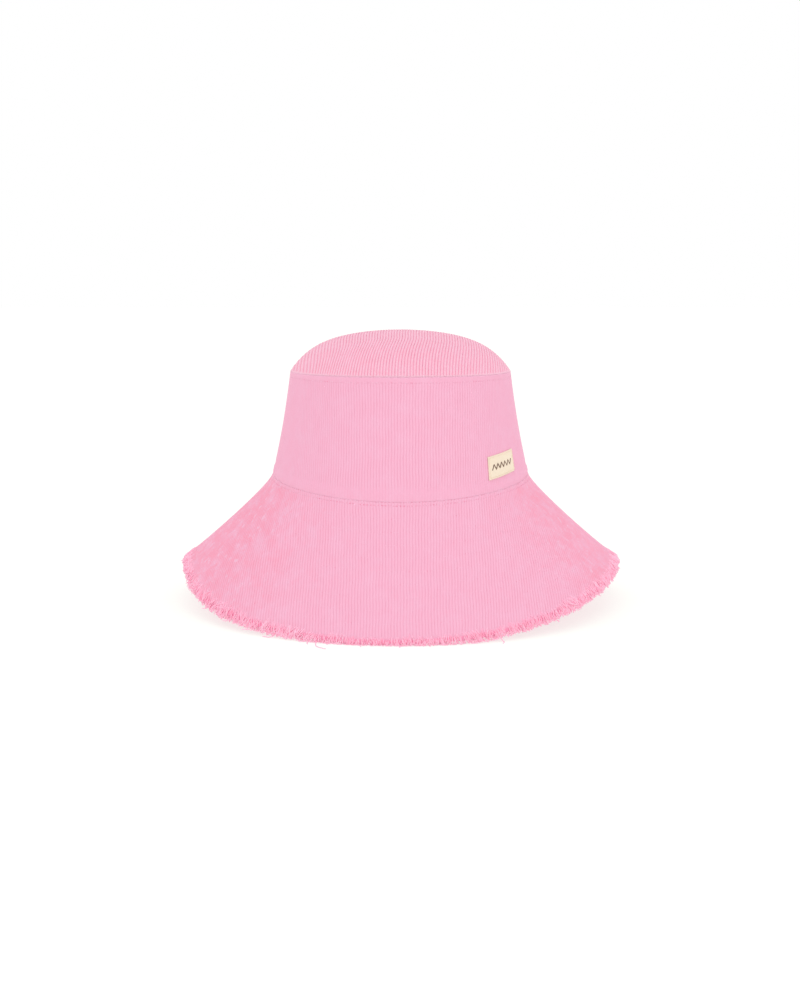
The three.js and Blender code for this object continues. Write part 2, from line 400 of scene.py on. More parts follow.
SEAM_ROLL = 0.6 * MM  # how far from a seam its cloth starts to turn in
SEAM_DEPTH = 0.04 * MM  # depth of the cloth in a seam, the same for the panels on both sides of it
SIDE_SEAM_DEPTH = 0.30 * MM  # the same, in a side seam
SIDE_CLEAR = 0.15 * MM  # how far a panel's outermost columns keep from its side seams
SEAM_PALE_LIGHT = 0.8  # how much the pile spreads and turns paler where the cloth rolls into a seam: painted light that lifts the crease's shade
PRESS_DEPTH = 0.12 * MM  # how deep a tight row of stitches presses the cloth


def paler_lit_at_seam(pile, distance):
    """A panel's pile, spread and pale where the cloth rolls into its seam; the paleness is painted light
    over the crease's shade.
    """
    return pile + SEAM_PALE_LIGHT * (1 - blend(0, 1.5 * SEAM_ROLL, distance))


def eased_to_seam(relief, distance):
    """A panel's relief at a distance from its seam, brought to the depth at which both panels meet."""
    free = blend(0, SEAM_ROLL, distance)
    return relief * free - SEAM_DEPTH * (1 - free)


def lengths_along(points):
    """How far each point of a line is from its start, along the line."""
    return np.concatenate([[0], np.cumsum(np.linalg.norm(np.diff(points, axis=0), axis=1))])


def quarter_lengths(ring):
    """Arc length along a ring, from the front to the side, and the angle at each length."""
    t = np.linspace(0, math.pi / 2, 400)
    return lengths_along(ring_point(ring, t)), t


def share_to_angle(share, w, rings, side):
    """The angle t of a share of the half panel, 0 at its middle and 1 at its side seam."""
    angles = []
    for ring in rings:
        length, t = quarter_lengths(ring)
        angles.append(np.interp(np.abs(share), length / length[-1], t))
    from_middle = np.sign(share) * (angles[0] * (1 - w) + angles[1] * w)
    return from_middle if side == "front" else math.pi - from_middle


def wale_wander(across, along):
    """How far a wale strays sideways along its length."""
    slow = 0.15 * np.sin(along / (4.3 * MM) + across / (11 * MM))
    quick = 0.07 * np.sin(along / (1.5 * MM) + across / (5 * MM))
    return (slow + quick) * MM


def sector_grid(panel):
    """The flat pattern of half a band or brim: part of a ring, its grain along the middle line.

    Returns, for [columns, rows], the places across and along the pattern, the height of the pile, w, the
    share of the way from the middle to the side seam, and the distance to that seam.
    """
    slant = panel.slant
    top_quarter, bottom_quarter = (quarter_lengths(ring)[0][-1] for ring in panel.rings)
    spread = (bottom_quarter - top_quarter) / slant
    inner = top_quarter / spread
    outer = inner + slant * panel.end_w
    half_width = outer * math.sin(spread) - SIDE_CLEAR
    across, heights = wale_columns(half_width)
    across, down = np.meshgrid(across, eased_rows(panel.rows), indexing="ij")
    u = across + wale_wander(across, slant * down) * (1 - (across / half_width) ** 6)
    high = np.sqrt(outer**2 - u**2)
    on_arc = np.abs(u) < inner * math.sin(spread)
    low = np.where(on_arc, np.sqrt(np.maximum(inner**2 - u**2, 0)), np.abs(u) / math.tan(spread))
    along = low + (high - low) * down
    radius = np.hypot(u, along)
    angle = np.arctan2(u, along)
    w = np.clip((radius - inner) / slant, 0, panel.end_w)
    share = np.clip(angle / spread, -1, 1)
    side = radius * (spread - np.abs(angle))
    return u, along, np.broadcast_to(heights[:, None], along.shape), w, share, side


# A panel's region of v, the rings it joins, its length down the cone, its grid rows, its rows of stitches,
# the w it ends at, its distance to the seams, the depths of its face and back, and its own shape.
Panel = namedtuple("Panel", "region rings slant rows stitches end_w to_seam face back shaped")


def make_sector_panel(name, panel, side, node):
    """The front or back half of the band or of a brim ply. Its face is the side that shows, out or in.

    panel.shaped(w) gives, for each point, the panel's own relief, how much of the wales' height stands and
    how bare the cloth is worn, whose deep colour is also painted shade of the gaps between the yarns.
    """
    u, along, ridge, w, share, seam_side = sector_grid(panel)
    v = panel.region[0] + w
    t = share_to_angle(share, w, panel.rings, side)
    inwards = panel.face > panel.back
    sign = -1 if inwards else 1
    pressed = pressed_rows(v, panel.stitches, panel.slant)
    own_relief, standing, bare_and_gap_shade = panel.shaped(w)
    brushing = 0.80 + 0.30 * blend(-0.9, 0.9, pile_noise(u, along, len(name)))
    # bare cloth takes a deep colour, which is partly painted shade of the gaps between the yarns
    pile = MEAN_PILE + (ridge - MEAN_PILE) * (1 - 0.6 * pressed) * standing * brushing - 1.3 * bare_and_gap_shade
    relief = WALE_HEIGHT * (pile - 1) - PRESS_DEPTH * pressed + own_relief
    relief = eased_to_seam(relief, panel.to_seam(w))
    pile = paler_lit_at_seam(pile, panel.to_seam(w))
    rolled = SIDE_SEAM_DEPTH * turned_in(seam_side, SEAM_ROLL) / SEAM_ROLL
    relief = relief - rolled - PRESS_DEPTH * bump(seam_side, 0, 2.0 * MM)
    face = above_ground(hat_point(v, t, panel.face - sign * relief, panel.region))
    back = above_ground(hat_point(v, t, panel.back, panel.region))
    shades = {"pile": pile, "mottle_and_shade": mottle_and_side_shade(v, t)}
    cloth = cloth_shell(name, face, back, shades, flip=inwards == (side == "back"))
    finish_piece(cloth, corduroy, "corduroy", node)


def above_ground(points):
    """The cloth can't pass through the ground it rests on."""
    points[..., 2] = np.maximum(points[..., 2], 0.1 * MM)
    return points


def mottle_and_side_shade(v, t):
    """Where the pile is mottled a deeper pink, mostly on the sides of the brim, where the deeper pink is
    also painted shade.
    """
    degrees = turn_in_degrees(t)
    # painted shade: the brim's sides are darkened, the left more than the right
    left, right = bump(degrees, -72, 30), bump(degrees, 74, 24)
    return 0.15 + blend(1.96, 2.06, v) * (1.5 * left + 1.25 * right)


def band_relief(w):
    """The band's seam allowances: a flat strip below the tip seam and a soft ridge above the brim seam."""
    below_tip = w * BAND_LENGTH
    above_brim = (1 - w) * BAND_LENGTH
    strip = 1 - blend(2.4 * MM, 3.6 * MM, below_tip)
    ridge = blend(0.6 * MM, 2.4 * MM, above_brim) * (1 - blend(4.4 * MM, 6.4 * MM, above_brim))
    groove = bump(above_brim, 6.9 * MM, 1.5 * MM)
    relief = 0.10 * MM * strip + 0.28 * MM * ridge - 0.14 * MM * groove
    standing = 1 - 0.75 * strip - 0.5 * (1 - blend(5.5 * MM, 8.5 * MM, above_brim))
    standing = standing * blend(0, SEAM_ROLL, below_tip) * blend(0, SEAM_ROLL, above_brim)
    return relief, standing, 0 * w


def brim_relief(w):
    """The brim's rolled upper edge, and its pile, which wears off to the weave where the fraying starts,
    deep there as painted shade of the gaps between the yarns.
    """
    below_seam = w * BRIM_LENGTH
    relief = 0.08 * MM * bump(below_seam, 1.1 * MM, 0.5 * MM)
    past_fringe = (w - (FRINGE_V - 2)) * BRIM_LENGTH
    standing = blend(0, SEAM_ROLL, below_seam) * (1 - blend(-1.0 * MM, 1.5 * MM, past_fringe))
    return relief, standing, blend(0.2 * MM, 2.2 * MM, past_fringe)


# ---- materials ----


def set_inputs(node, settings):
    """Sets each named input to a value, or links it to the output of another node."""
    for key, value in settings.items():
        if isinstance(value, bpy.types.NodeSocket):
            node.id_data.links.new(value, node.inputs[key])
        else:
            node.inputs[key].default_value = value


def add_node(tree, kind, settings, output, **options):
    """An output of a new node."""
    node = tree.nodes.new("ShaderNode" + kind)
    for key, value in options.items():
        setattr(node, key, value)
    set_inputs(node, settings)
    return node.outputs[output]


def new_material(name):
    material = bpy.data.materials.new(name)
    material.use_nodes = True
    tree = material.node_tree
    return material, tree, tree.nodes["Principled BSDF"]


def own_space(tree, **settings):
    """The object's own space, so that what is drawn in it stays with the cloth."""
    place = add_node(tree, "TexCoord", {}, "Object")
    return add_node(tree, "Mapping", {"Vector": place, **settings}, "Vector")


def noise(tree, scale, detail, stretch=(1, 1, 1)):
    place = own_space(tree, Scale=stretch)
    return add_node(tree, "TexNoise", {"Vector": place, "Scale": scale, "Detail": detail}, "Fac")


def shade(tree, name):
    """A shade that the mesh carries from point to point."""
    return add_node(tree, "Attribute", {}, "Fac", attribute_name=name)


def mixed(tree, factor, first, second):
    """Two colours mixed by a factor. A colour is (r, g, b), or the output of another mix."""
    first, second = ((*colour, 1) if isinstance(colour, tuple) else colour for colour in (first, second))
    return add_node(tree, "Mix", {"Factor": factor, "A": first, "B": second}, "Result", data_type="RGBA")


def ramp(tree, source, low, high):
    """Maps a value so that low becomes 0 and high becomes 1."""
    return add_node(tree, "MapRange", {"Value": source, "From Min": low, "From Max": high}, "Result")


def product(tree, first, second):
    return add_node(tree, "Math", {0: first, 1: second}, "Value", operation="MULTIPLY")


def bumps(tree, height, strength, distance):
    settings = {"Height": height, "Strength": strength, "Distance": distance}
    return add_node(tree, "Bump", settings, "Normal")


# the valley and deep colours lie between the wales and are deeper partly as painted shade of the valleys
PINK = (0.877, 0.453, 0.610)
PINK_VALLEY = (0.855, 0.395, 0.548)
PINK_DEEP = (0.88, 0.33, 0.465)
PINK_PALE = (0.885, 0.51, 0.66)
# painted shade: these deeper pinks also darken the brim's sides, beyond the pile's own mottling
PINK_MOTTLE_SHADE = (0.90, 0.37, 0.50)
PINK_MOTTLE_SHADE_VALLEY = (0.88, 0.265, 0.395)
# the bare weave at the fringe: partly its own colour, partly painted shade of the gaps between the yarns
PINK_GROUND_AND_GAP_SHADE = (0.88, 0.30, 0.47)


def corduroy_material(name, crest, valley, glow=0.0):
    """Pile, pale on the wales and deeper between them, partly as painted shade in the valleys. It is
    mottled a deeper pink in patches, which on the brim's sides is also painted shade, and bare where it is
    worn off, where its deep colour is also painted shade of the gaps between the yarns.

    glow is painted light: the cloth gives off a little light of its own, standing in for the light that
    scatters through thin fluff.
    """
    material, tree, shader = new_material(name)
    pile, mottle_and_shade = shade(tree, "pile"), shade(tree, "mottle_and_shade")
    patches = noise(tree, 100, 5)
    marks = noise(tree, 340, 2, stretch=(1, 1, 0.6))
    tufts = noise(tree, 1400, 3)
    crests = ramp(tree, pile, 0.25, 0.95)
    mottled_shade_colour = mixed(tree, crests, PINK_MOTTLE_SHADE_VALLEY, PINK_MOTTLE_SHADE)
    layers = (
        (ramp(tree, patches, 0.45, 1.6), PINK_PALE),
        # deeper pink mottling, which on the brim's sides is painted shade
        (product(tree, mottle_and_shade, ramp(tree, patches, 0.76, 0.20)), mottled_shade_colour),
        (product(tree, mottle_and_shade, ramp(tree, marks, 0.56, 0.80)), mottled_shade_colour),
        (product(tree, mottle_and_shade, ramp(tree, marks, 0.44, 0.20)), PINK_PALE),
        (ramp(tree, tufts, 0.60, 0.0), valley),
        (ramp(tree, pile, 0.1, -0.5), PINK_GROUND_AND_GAP_SHADE),
    )
    body = mixed(tree, crests, valley, crest)
    for strength, colour in layers:
        body = mixed(tree, strength, body, colour)
    looks = {
        "Base Color": body,
        "Roughness": ramp(tree, patches, -1.5, 1.6),
        "Specular IOR Level": 0.12,
        "Sheen Weight": 0.15,
        "Sheen Roughness": 0.45,
        "Sheen Tint": (1.0, 0.80, 0.88, 1),
        "Emission Color": (1.0, 0.50, 0.66, 1),
        "Emission Strength": glow,
        "Normal": bumps(tree, tufts, 0.35, 0.25 * MM),
    }
    set_inputs(shader, looks)
    return material


def thread_material(name, light, dark):
    """Twisted thread, mottled light and dark."""
    material, tree, shader = new_material(name)
    twist = noise(tree, 2500, 2)
    looks = {
        "Base Color": mixed(tree, ramp(tree, twist, 0.35, 0.65), dark, light),
        "Roughness": 0.75,
        "Specular IOR Level": 0.2,
        "Sheen Weight": 0.2,
        "Sheen Tint": (1.0, 0.82, 0.9, 1),
        "Normal": bumps(tree, twist, 0.4, 0.1 * MM),
    }
    set_inputs(shader, looks)
    return material


WAVE_SPAN = 0.314  # the wave texture's scale for bands that are a metre apart


def woven_material(name, light, dark, thread_width, twill=0.0, roughness=0.85):
    """A fine weave: two sets of bands over each other, slanted by twill."""
    material, tree, shader = new_material(name)
    bands = {"Scale": WAVE_SPAN / thread_width, "Distortion": 0.6, "Detail": 1.0}
    heights = []
    for turn in (twill, twill + math.pi / 2):
        place = own_space(tree, Rotation=(0.4 * turn, turn, 0.6 * turn))
        heights.append(add_node(tree, "TexWave", {"Vector": place, **bands}, "Fac"))
    weave = product(tree, *heights)
    slubs = noise(tree, 160, 3)
    body = mixed(tree, ramp(tree, weave, 0.0, 0.7), dark, light)
    looks = {
        "Base Color": mixed(tree, ramp(tree, slubs, 0.3, 2.2), body, light),
        "Roughness": roughness,
        "Specular IOR Level": 0.2,
        "Sheen Weight": 0.15,
        "Normal": bumps(tree, weave, 0.5, 0.12 * MM),
    }
    set_inputs(shader, looks)
    return material


corduroy = corduroy_material("pink_corduroy", PINK, PINK_VALLEY)
tip_corduroy = corduroy_material("pink_tip_corduroy", (0.885, 0.545, 0.665), PINK_DEEP)
# glow=0.12 is painted light: the yarns give off a little light of their own
yarn = corduroy_material("pink_yarn", (0.94, 0.59, 0.72), (0.96, 0.405, 0.565), glow=0.12)
# the thread's dark valley colour also paints the shade of needle holes at the stitch ends
stitch_thread = corduroy_material("pink_thread", PINK_PALE, (0.80, 0.13, 0.27))
cream_thread = thread_material("cream_thread", (0.93, 0.80, 0.65), (0.86, 0.71, 0.54))
lining_cotton = woven_material("pink_cotton", (0.955, 0.62, 0.72), (0.90, 0.50, 0.62), 0.45 * MM)
sweatband_twill = woven_material("pink_twill", (0.95, 0.55, 0.67), (0.87, 0.42, 0.56), 0.7 * MM, 0.8)
stiffener = woven_material("white_interlining", (0.9, 0.88, 0.84), (0.8, 0.78, 0.74), 0.9 * MM, 0.3)
cream_weave = woven_material("cream_weave", (0.93, 0.80, 0.655), (0.87, 0.72, 0.555), 0.32 * MM, 0.0, 0.8)
brown_weave = woven_material("brown_weave", (0.29, 0.19, 0.14), (0.20, 0.12, 0.09), 0.3 * MM)
white_satin = woven_material("white_satin", (0.93, 0.92, 0.90), (0.86, 0.85, 0.83), 0.3 * MM, 0.0, 0.45)

# ---- corduroy panels ----


def tip_sway(x, y, half_width):
    """The tip's wales stand straight at the front seam and lean over to one side further back."""
    lean = blend(-0.97, -0.45, y / TIP_RING.half_length) * (5.0 - 3.0 * x / half_width)
    ripple = 0.3 * np.sin(y / (13 * MM) + 0.8 + x / (30 * MM))
    return (lean + ripple) * MM * (1 - (x / half_width) ** 4)


RIM_CLEAR = 0.03 * MM  # how far the tip's outermost columns keep from its rim
TIP_WALES = 1.5  # the tip's wales stand this much higher than the others


def make_tip():
    """The oval tip. Its wales run from front to back."""
    half_width = TIP_RING.half_width - RIM_CLEAR
    across, heights = wale_columns(half_width)
    reach = TIP_RING.half_length * np.sqrt(1 - (across / TIP_RING.half_width) ** 2)
    share = 2 * eased_rows(72) - 1
    x = across[:, None] + tip_sway(across[:, None], reach[:, None] * share, half_width)
    y = TIP_RING.half_length * np.sqrt(np.maximum(1 - (x / TIP_RING.half_width) ** 2, 0)) * share
    v = np.clip(np.hypot(x / TIP_RING.half_width, y / TIP_RING.half_length), 0, 1)
    t = np.arctan2(x / TIP_RING.half_width, -y / TIP_RING.half_length)
    ridge = np.broadcast_to(heights[:, None], y.shape)
    rim = (1 - v) * TIP_RING.half_width
    standing = blend(0, 1.2 * MM, rim) * (0.9 + 0.2 * pile_noise(x, y, 3))
    pile = MEAN_PILE + (ridge - MEAN_PILE) * standing
    relief = eased_to_seam(TIP_WALES * WALE_HEIGHT * (pile - 1), rim)
    pile = paler_lit_at_seam(pile, rim)
    face = hat_point(v, t, -relief, TIP)
    back = hat_point(v, t, PLY, TIP)
    piece = cloth_shell("tip", face, back, {"pile": pile, "mottle_and_shade": 0.25 + 0 * pile})
    finish_piece(piece, tip_corduroy, "corduroy", "tip_panel")


def make_band():
    panel = Panel(
        region=BAND,
        rings=(TIP_RING, BRIM_RING),
        slant=BAND_LENGTH,
        rows=40,
        stitches=[(TIP_ROW_V, 0.35)],
        end_w=1.0,
        to_seam=lambda w: np.minimum(w, 1 - w) * BAND_LENGTH,
        face=0.0,
        back=PLY,
        shaped=band_relief,
    )
    for side in ("front", "back"):
        make_sector_panel(f"band_{side}_cloth", panel, side, f"band_{side}")


def make_brim():
    """Both plies of the brim. The lower one faces down, and its cloth ends a little sooner."""
    upper = Panel(
        region=BRIM,
        rings=(BRIM_RING, EDGE_RING),
        slant=BRIM_LENGTH,
        rows=56,
        stitches=[(SEAM_ROW_V, 0.4), (FIRST_ROW_V, 0.4)] + [(v, 0.16) for v in ROW_V[1:]],
        end_w=1 - 2.2 * MM / BRIM_LENGTH,
        to_seam=lambda w: w * BRIM_LENGTH,
        face=0.0,
        back=PLY,
        shaped=brim_relief,
    )
    lower_end = 1 - 3.2 * MM / BRIM_LENGTH
    lower = upper._replace(rows=54, end_w=lower_end, face=UNDER_FACE, back=UNDER_FACE - PLY)
    for side in ("front", "back"):
        make_sector_panel(f"brim_upper_{side}", upper, side, f"brim_top_{side}")
        make_sector_panel(f"brim_lower_{side}", lower, side, f"brim_under_{side}")


# ---- inner layers ----

LINING_DEPTHS = (1.45 * MM, 1.85 * MM)
SWEATBAND_DEPTHS = (2.2 * MM, 3.0 * MM)
SEAM_CLEAR = 0.3 * MM  # how far the inner layers keep from the brim seam
TURN_CLEAR = 0.003  # the angle that a half layer keeps from the side seams


def make_layer(name, region, v, depths, t, joined=False, ends_inside=False):
    """A smooth sheet over the places v, between two depths, the outer one first, at the angles t.

    It is a tube round the hat, joined or closed at its ends, or, with ends_inside, one that runs out from
    the middle of the tip and back.
    """
    profile_v = np.concatenate([v, v[::-1]])
    profile_depth = np.repeat(depths, len(v))
    points = hat_point(profile_v[None, :], t[:, None], profile_depth[None, :], region)
    if ends_inside:
        points = points.swapaxes(0, 1)[::-1]
    return mesh_object(name, points.reshape(-1, 3), tube_faces(*points.shape[:2], joined))


def make_linings():
    """The side linings under the band and the interlinings in the brim, each in two halves."""
    lined = np.linspace(1 + 1.2 * MM / BAND_LENGTH, 2 - SEAM_CLEAR / BAND_LENGTH, 14)
    stiffened = np.linspace(2 + SEAM_CLEAR / BRIM_LENGTH, FRINGE_V, 16)
    half_turn = (TURN_CLEAR - math.pi / 2, math.pi / 2 - TURN_CLEAR)
    for side, middle in (("front", 0), ("back", math.pi)):
        t = middle + np.linspace(*half_turn, 91)
        lining = make_layer(f"side_lining_{side}_cloth", BAND, lined, LINING_DEPTHS, t)
        finish_piece(lining, lining_cotton, "lining", f"side_lining_{side}")
        t = middle + np.linspace(*half_turn, 121)
        stiff = make_layer(f"brim_stiffener_{side}", BRIM, stiffened, LINING_DEPTHS, t)
        finish_piece(stiff, stiffener, "interlining", f"brim_interlining_{side}")


def make_tip_lining():
    """The tip's lining: rings from a small closing face at the middle out to near the seam."""
    v = np.sin(np.linspace(0.03, 1, 20) * math.pi / 2) * (1 - 1.4 * MM / TIP_RING.half_width)
    piece = make_layer("tip_lining_cloth", TIP, v, LINING_DEPTHS, round_angles(120), ends_inside=True)
    finish_piece(piece, lining_cotton, "lining", "tip_lining")


def make_sweatband():
    top_v = 2 - (sweatband_high[2] - sweatband_low[2] - 1.5 * MM) / BAND_LENGTH
    v = np.linspace(top_v, 2 - SEAM_CLEAR / BAND_LENGTH, 12)
    piece = make_layer("sweatband_tape", BAND, v, SWEATBAND_DEPTHS, round_angles(200), joined=True)
    finish_piece(piece, sweatband_twill, "sweatband", "sweatband")


# ---- stitching ----


def capsule_template(sides=5):
    """A unit stitch along x: rings of a rounded bar, from -0.5 to 0.5, radius 1 in y and z.

    Its third part is 0 near the ends, where the thread dives into the cloth and takes painted shade, and 1
    along the middle.
    """
    half = np.array([(0.5, 0.75, 0.0), (0.40, 0.95, 0.0), (0.33, 1.0, 1.0)])
    x, radius, middle = np.concatenate([half * (-1, 1, 1), half[::-1]]).T[..., None]
    angles = round_angles(sides)
    rings = np.stack([x + 0 * angles, radius * np.cos(angles), radius * np.sin(angles)], axis=-1)
    return rings.reshape(-1, 3), tube_faces(len(x), sides), (middle + 0 * angles).ravel()


def copies_of(template, frames, name, end_shades):
    """One mesh of many copies of a template. frames are (origin, x axis, y axis, z axis) arrays, scaled.

    end_shades are the pile shades of the copies' ends, 0 for the painted shade of a deep needle hole.
    """
    points, faces, middle = template
    origin, *axes = frames
    placed = origin[:, None, :] + points @ np.stack(axes, axis=1)
    all_faces = copied_faces(faces, len(points), len(origin))
    pile = middle[None, :] + (1 - middle[None, :]) * np.broadcast_to(end_shades, len(origin))[:, None]
    return mesh_object(name, placed.reshape(-1, 3), all_faces, attributes={"pile": pile.ravel()})


Row = namedtuple("Row", "region depth radius pitch open_holes")


def stitch_frames(row, v, draw):
    """Places of the stitches of a row that runs round the hat at v."""
    dense = np.linspace(0, 2 * math.pi, 1500)
    length = lengths_along(hat_point(v, dense, row.depth, row.region))
    count = int(length[-1] / row.pitch)
    t = np.interp((np.arange(count) + 0.5) * length[-1] / count, length, dense)
    v = v + draw.normal(0, 0.05 * MM, count) / BRIM_LENGTH
    centre = hat_point(v, t, row.depth, row.region)
    ahead = unit(hat_point(v, t + 1e-3, row.depth, row.region) - centre)
    normal = normals(v, t, row.region)
    across = np.cross(normal, ahead)
    long = row.pitch * (0.92 + draw.normal(0, 0.03, count))[:, None]
    return centre, ahead * long, across * row.radius, normal * row.radius


def make_stitch_rows(name, node, row, v_rows, seed):
    """Alike rows at several v. The row gives the share of stitches whose needle holes show as dots of
    painted shade.
    """
    draw = np.random.default_rng(seed)
    parts = [stitch_frames(row, v, draw) for v in v_rows]
    frames = [np.concatenate(axis) for axis in zip(*parts)]
    count = len(frames[0])
    share = row.open_holes * (0.6 + 0.4 * np.sin(np.arange(count) / 6.5 + seed))
    # painted shade: a share of the stitches get dark ends for their needle holes
    shades = np.where(draw.uniform(0, 1, count) < share, draw.uniform(0, 0.3, count), 0.9)
    piece = copies_of(capsule_template(), frames, name, shades)
    finish_piece(piece, stitch_thread, "thread", node)


def make_stitching():
    fine, wide = 2.2 * MM, 2.6 * MM
    tip = Row(BAND, 0.20 * MM, 0.28 * MM, fine, 0.2)
    seam = Row(BRIM, 0.24 * MM, 0.30 * MM, fine, 0.9)
    brim = Row(BRIM, 0.22 * MM, 0.19 * MM, wide, 0.15)
    sweatband = Row(BAND, SWEATBAND_DEPTHS[1] + 0.05 * MM, 0.26 * MM, wide, 0.5)
    make_stitch_rows("tip_topstitches", "tip_topstitching", tip, [TIP_ROW_V], 21)
    make_stitch_rows("seam_topstitches", "brim_seam_topstitching", seam, [SEAM_ROW_V, FIRST_ROW_V], 31)
    for number, node in enumerate(BRIM_ROWS, start=1):
        make_stitch_rows(f"brim_stitches_{number:02d}", node, brim, [ROW_V[number]], 40 + number)
    sewn_v = 2 - 3.2 * MM / BAND_LENGTH
    make_stitch_rows("sweatband_stitches", "sweatband_stitching", sweatband, [sewn_v], 61)


# ---- frayed edge ----

ROOT_SHADE = 0.1  # how much deeper a yarn's colour is at its root


def yarn_mesh(name, roots, steps, radius, shades, sides=4):
    """Tapered yarns. roots is [n, 3], steps is [n, k, 3]: the way from each point of a yarn to its next."""
    line = np.concatenate([roots[:, None, :], roots[:, None, :] + np.cumsum(steps, axis=1)], axis=1)
    floor = 0.15 * MM + radius[:, None]
    line[..., 2] = np.maximum(line[..., 2], floor)
    tangent = unit(np.gradient(line, axis=1))
    helper = unit(np.cross(tangent, np.array([0.31, 0.17, 0.93])))
    other = np.cross(tangent, helper)
    count, rings = line.shape[:2]
    taper = np.linspace(1.0, 0.8, rings)[None, :, None, None] * radius[:, None, None, None]
    angles = round_angles(sides)[:, None]
    circle = np.cos(angles) * helper[:, :, None, :] + np.sin(angles) * other[:, :, None, :]
    points = line[:, :, None, :] + circle * taper
    faces = copied_faces(tube_faces(rings, sides), rings * sides, count)
    deeper = ROOT_SHADE * np.linspace(1, 0, rings)[None, :, None]
    pile = np.broadcast_to(shades[:, None, None] - deeper, points.shape[:3])
    return mesh_object(name, points.reshape(-1, 3), faces, attributes={"pile": pile.ravel()})


def yarn_roots(v, t, depth):
    """Where yarns spring from, and the directions there: outwards down the brim, and round it."""
    root = hat_point(v, t, depth, BRIM)
    out = unit(hat_point(v + 0.01, t, depth, BRIM) - root)
    around = unit(hat_point(v, t + 1e-3, depth, BRIM) - root)
    return root, out, around


def yarn_steps(direction, lengths, knots):
    """The steps of yarns that point in direction(share) at each share of their lengths."""
    shares = np.linspace(0, 1, knots)
    return np.stack([direction(share) * (lengths / knots)[:, None] for share in shares], axis=1)


# Angles of the yarns of a ply, and what varies round it: ragged patches, clumps of longer yarns and of
# yarns that lean alike, how near a yarn is to the hat's sides, and how near to the side tips.
Yarns = namedtuple("Yarns", "t patch long_clump lean_clump sideness corner")


def clumped(t, draw):
    """A random value for each yarn that its neighbours nearly share."""
    clumps = np.linspace(0, 2 * math.pi, 270)
    return np.interp(t, clumps, draw.normal(0, 1, len(clumps)))


def scattered_yarns(count, draw):
    t = np.sort(draw.uniform(0, 2 * math.pi, count))
    patch = 0.55 * np.sin(t * 23 + 1.3) + 0.45 * np.sin(t * 41 + 0.4)
    corner = bump(degrees_off_front(t), 90, 13)
    return Yarns(t, patch, clumped(t, draw), clumped(t, draw), np.sin(t) ** 2, corner)


def root_heights(yarns, reach, draw):
    """How far above the edge each yarn leaves the cloth: higher up at the sides."""
    lowest = 1.2
    highest = reach / MM + 0.8 * yarns.patch + 3.2 * yarns.sideness
    return (lowest + (highest - lowest) * draw.uniform(0, 1, len(yarns.t)) ** 0.9) * MM


def yarn_direction(yarns, out, around, normal, draw):
    """How the yarns bend: their direction as a function of the share of their length."""
    t, count = yarns.t, len(yarns.t)
    calm = 1 - 0.6 * yarns.corner
    grain = -0.5 * np.sin(2 * t) * np.sign(np.cos(t)) * draw.uniform(0.2, 1.0, count)
    tangle = 0.14 * yarns.patch + 0.25 * yarns.lean_clump + draw.normal(0, 0.24, count)
    lean = 0.16 * grain + tangle * calm
    lift = draw.uniform(0.10, 0.30, count)
    curl = draw.normal(0, 0.45, count)
    swing = draw.normal(-0.32, 0.12, count)
    hanging = blend(0.5, 1.0, yarns.sideness) * (1 - 0.8 * yarns.corner)
    fall = 0.12 + 1.3 * hanging * draw.uniform(0.4, 1.0, count)

    def direction(share):
        sideways = around * (lean + curl * share)[:, None]
        upwards = normal * (lift + swing * share)[:, None]
        down = np.array([0, 0, -1]) * (fall * share)[:, None]
        return unit(out + sideways + upwards + down)

    return direction


def yarn_lengths(yarns, above_edge, draw):
    """Most yarns end at the edge, some a little past it. Beside the side tips they are worn short."""
    longest = (4.5 + 3.4 * yarns.sideness) * MM
    clumps = (0.45 + 0.5 * yarns.sideness) * yarns.long_clump
    uneven = 0.25 * yarns.patch + clumps + draw.normal(0.0, 0.5, len(yarns.t))
    worn = 0.6 * yarns.sideness + 1.3 * bump(degrees_off_front(yarns.t), 70, 12)
    past_edge = (uneven * (1 - 0.6 * yarns.corner) - worn) * MM
    return np.clip(1.08 * above_edge + past_edge, 2.0 * MM, longest)


def yarn_shades(yarns, draw):
    """Pile shades of the yarns, more even near the side tips and darker towards the hat's sides as painted
    shade.
    """
    mean = 0.85
    variety = 1 - 0.7 * bump(degrees_off_front(yarns.t), 84, 16)
    # painted shade: yarns towards the hat's sides are darker
    shades = draw.uniform(0.40, 1.0, len(yarns.t)) + 0.12 * yarns.long_clump - 0.15 * yarns.sideness
    return np.clip(mean + (shades - mean) * variety, 0.25, 1.0)


def make_fringe(name, count, depth, reach, seed):
    """The loose yarns of one ply. They spring from a strip of a reach above the edge and overlap."""
    draw = np.random.default_rng(seed)
    yarns = scattered_yarns(count, draw)
    above_edge = root_heights(yarns, reach, draw)
    v = 3 - above_edge / BRIM_LENGTH
    root, out, around = yarn_roots(v, yarns.t, depth + draw.uniform(0.1, 0.5, count) * MM)
    direction = yarn_direction(yarns, out, around, normals(v, yarns.t, BRIM), draw)
    steps = yarn_steps(direction, yarn_lengths(yarns, above_edge, draw), 5)
    radius = draw.uniform(0.18, 0.27, count) * MM
    piece = yarn_mesh(name, root, steps, radius, yarn_shades(yarns, draw))
    finish_piece(piece, yarn, "corduroy")


LONG_PLACES = np.radians([-19.8, -22, -31, -38, 24, 40, 118, 163, 205, 251])
LONG_LENGTHS = np.array([20, 7.5, 10, 7.5, 11, 9, 9, 11, 8, 10]) * MM
LONG_TURNS = np.array([1.5, 0.9, -1.4, -0.8, -1.0, -1.4, 1.2, -1.1, 0.9, -1.2])
SHORT_STRAYS = 64


